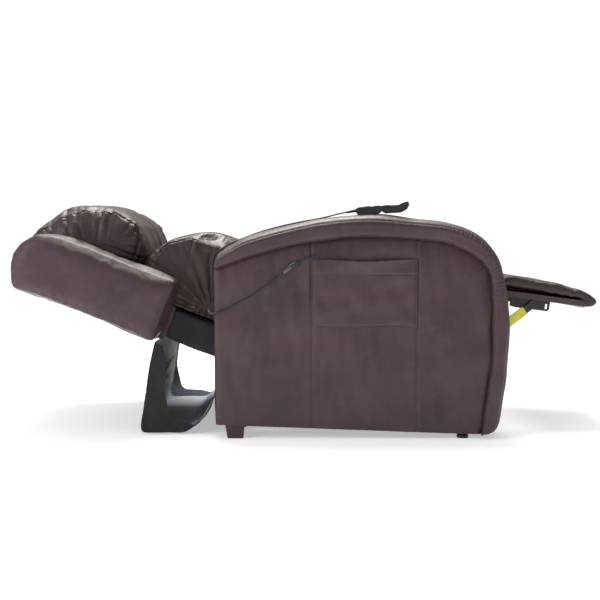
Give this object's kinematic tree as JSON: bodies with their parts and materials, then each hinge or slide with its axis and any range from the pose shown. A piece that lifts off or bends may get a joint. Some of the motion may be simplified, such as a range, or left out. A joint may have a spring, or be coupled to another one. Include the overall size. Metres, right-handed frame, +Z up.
{
  "type": "power lift recliner chair",
  "caption": "Leather power lift recliner lying back with its footrest out, handset on the right arm, side pocket and a hanging rear skirt.",
  "frame": {"origin": "on the floor, midway along the chair's length and width as it lies back", "axes": "+X the way the sitter faces, +Y the sitter's left, +Z up"},
  "size_m": [1.7976, 0.85, 0.703],
  "materials": {
    "leather": "satin, softly grained",
    "back_cloth": "matte woven",
    "skirt_cloth": "matte woven, paler inside",
    "frame_wood": "sawn",
    "foot_wood": "satin stained",
    "frame_steel": "satin powder coat",
    "rod_steel": "polished",
    "black_plastic": "satin",
    "glide_plastic": "matte",
    "key_plastic": "matte",
    "latch_plastic": "matte",
    "sleeve_plastic": "matte, bright",
    "cable": "satin"
  },
  "bodies": {
    "base": {"base_side_rails": "frame_steel", "base_cross_tubes": "frame_steel", "base_lift_brackets": "frame_steel", "base_glides": "glide_plastic", "lift_actuator_bracket": "frame_steel", "lift_actuator_body": "black_plastic"},
    "lift_arms": {"lift_links": "frame_steel", "lift_torque_tube": "frame_steel"},
    "chassis": {"seat_side_rails": "frame_wood", "seat_cross_rails": "frame_wood", "lift_side_plates": "frame_steel", "back_hinge_brackets": "frame_steel", "footrest_brackets": "frame_steel", "seat_deck": "frame_wood", "seat_cushion": "leather", "chaise_bridge": "leather", "control_box": "black_plastic", "actuator_hangers": "frame_steel", "recline_actuator_body": "black_plastic", "footrest_actuator_body": "black_plastic", "arm_rolls": "leather", "arm_outer_panels": "leather", "arm_inner_panels": "leather", "arm_frames": "frame_wood", "side_pocket": "leather", "block_feet": "foot_wood", "arm_glides": "glide_plastic", "rear_skirt": "skirt_cloth", "handset_lower_shell": "black_plastic", "handset_upper_shell": "black_plastic", "handset_strain_relief": "black_plastic", "harness_outlet": "black_plastic", "harness_cord": "cable", "connector_socket": "black_plastic", "connector_plug": "latch_plastic", "handset_cord": "cable"},
    "back": {"lower_back_board": "back_cloth", "back_torque_tube": "frame_steel", "back_hinge_plates": "frame_steel", "back_frame": "frame_wood", "back_rear_panel": "leather", "back_wings": "leather", "headrest_cushion": "leather", "lumbar_cushion": "leather"},
    "inner_links": {"footrest_inner_links": "frame_steel", "footrest_torque_tube": "frame_steel"},
    "outer_links": {"footrest_outer_links": "frame_steel", "pinch_guards": "sleeve_plastic"},
    "ottoman": {"ottoman_brackets": "frame_steel", "ottoman_board": "leather", "ottoman_pad": "leather"},
    "lift_rod": {"lift_actuator_rod": "rod_steel"},
    "recline_rod": {"recline_actuator_rod": "rod_steel"},
    "footrest_rod": {"footrest_actuator_rod": "rod_steel"},
    "button_1": {"handset_button_1": "key_plastic"},
    "button_2": {"handset_button_2": "key_plastic"},
    "button_3": {"handset_button_3": "key_plastic"},
    "button_4": {"handset_button_4": "key_plastic"},
    "button_5": {"handset_button_5": "key_plastic"},
    "button_6": {"handset_button_6": "key_plastic"}
  },
  "joints": [
    {"name": "lift", "type": "hinge", "parent": "base", "child": "lift_arms", "pos_m": [0.15435, 0, 0.095], "axis": [0, 1, 0], "range_deg": [0, 60]},
    {"name": "chassis_tilt", "type": "hinge", "parent": "lift_arms", "child": "chassis", "pos_m": [-0.22565, 0, 0.115], "axis": [0, 1, 0], "range_deg": [-35, 0]},
    {"name": "recline", "type": "hinge", "parent": "chassis", "child": "back", "pos_m": [-0.11415, 0, 0.304], "axis": [0, 1, 0], "range_deg": [0, 50]},
    {"name": "footrest", "type": "hinge", "parent": "chassis", "child": "inner_links", "pos_m": [0.35435, 0, 0.235], "axis": [0, 1, 0], "range_deg": [0, 39.6]},
    {"name": "outer_link", "type": "hinge", "parent": "inner_links", "child": "outer_links", "pos_m": [0.54158, 0, 0.26734], "axis": [0, 1, 0], "range_deg": [-87.6, 0]},
    {"name": "ottoman_swing", "type": "hinge", "parent": "outer_links", "child": "ottoman", "pos_m": [0.69252, 0, 0.38274], "axis": [0, 1, 0], "range_deg": [0, 128.5]},
    {"name": "lift_rod_slide", "type": "slide", "parent": "base", "child": "lift_rod", "axis": [1, 0, 0], "range_m": [0, 0.085]},
    {"name": "recline_rod_slide", "type": "slide", "parent": "chassis", "child": "recline_rod", "axis": [-1, 0, 0], "range_m": [0, 0.09298]},
    {"name": "footrest_rod_slide", "type": "slide", "parent": "chassis", "child": "footrest_rod", "axis": [-1, 0, 0], "range_m": [0, 0.06775]},
    {"name": "button_1_press", "type": "slide", "parent": "chassis", "child": "button_1", "axis": [0.0593, 0, -0.9982], "range_m": [0, 0.001], "stiffness_N_per_m": 400},
    {"name": "button_2_press", "type": "slide", "parent": "chassis", "child": "button_2", "axis": [0.0593, 0, -0.9982], "range_m": [0, 0.001], "stiffness_N_per_m": 400},
    {"name": "button_3_press", "type": "slide", "parent": "chassis", "child": "button_3", "axis": [0.0593, 0, -0.9982], "range_m": [0, 0.001], "stiffness_N_per_m": 400},
    {"name": "button_4_press", "type": "slide", "parent": "chassis", "child": "button_4", "axis": [0.0593, 0, -0.9982], "range_m": [0, 0.001], "stiffness_N_per_m": 400},
    {"name": "button_5_press", "type": "slide", "parent": "chassis", "child": "button_5", "axis": [0.0593, 0, -0.9982], "range_m": [0, 0.001], "stiffness_N_per_m": 400},
    {"name": "button_6_press", "type": "slide", "parent": "chassis", "child": "button_6", "axis": [0.0593, 0, -0.9982], "range_m": [0, 0.001], "stiffness_N_per_m": 400}
  ],
  "couplings": [
    {"joint": "chassis_tilt", "follows": "lift", "ratio": -0.58333},
    {"joint": "outer_link", "follows": "footrest", "ratio": -2.2121},
    {"joint": "ottoman_swing", "follows": "footrest", "ratio": 3.2449},
    {"joint": "lift_rod_slide", "follows": "lift", "m_per_rad": 0.081169},
    {"joint": "recline_rod_slide", "follows": "recline", "m_per_rad": 0.10654},
    {"joint": "footrest_rod_slide", "follows": "footrest", "m_per_rad": 0.098021}
  ]
}
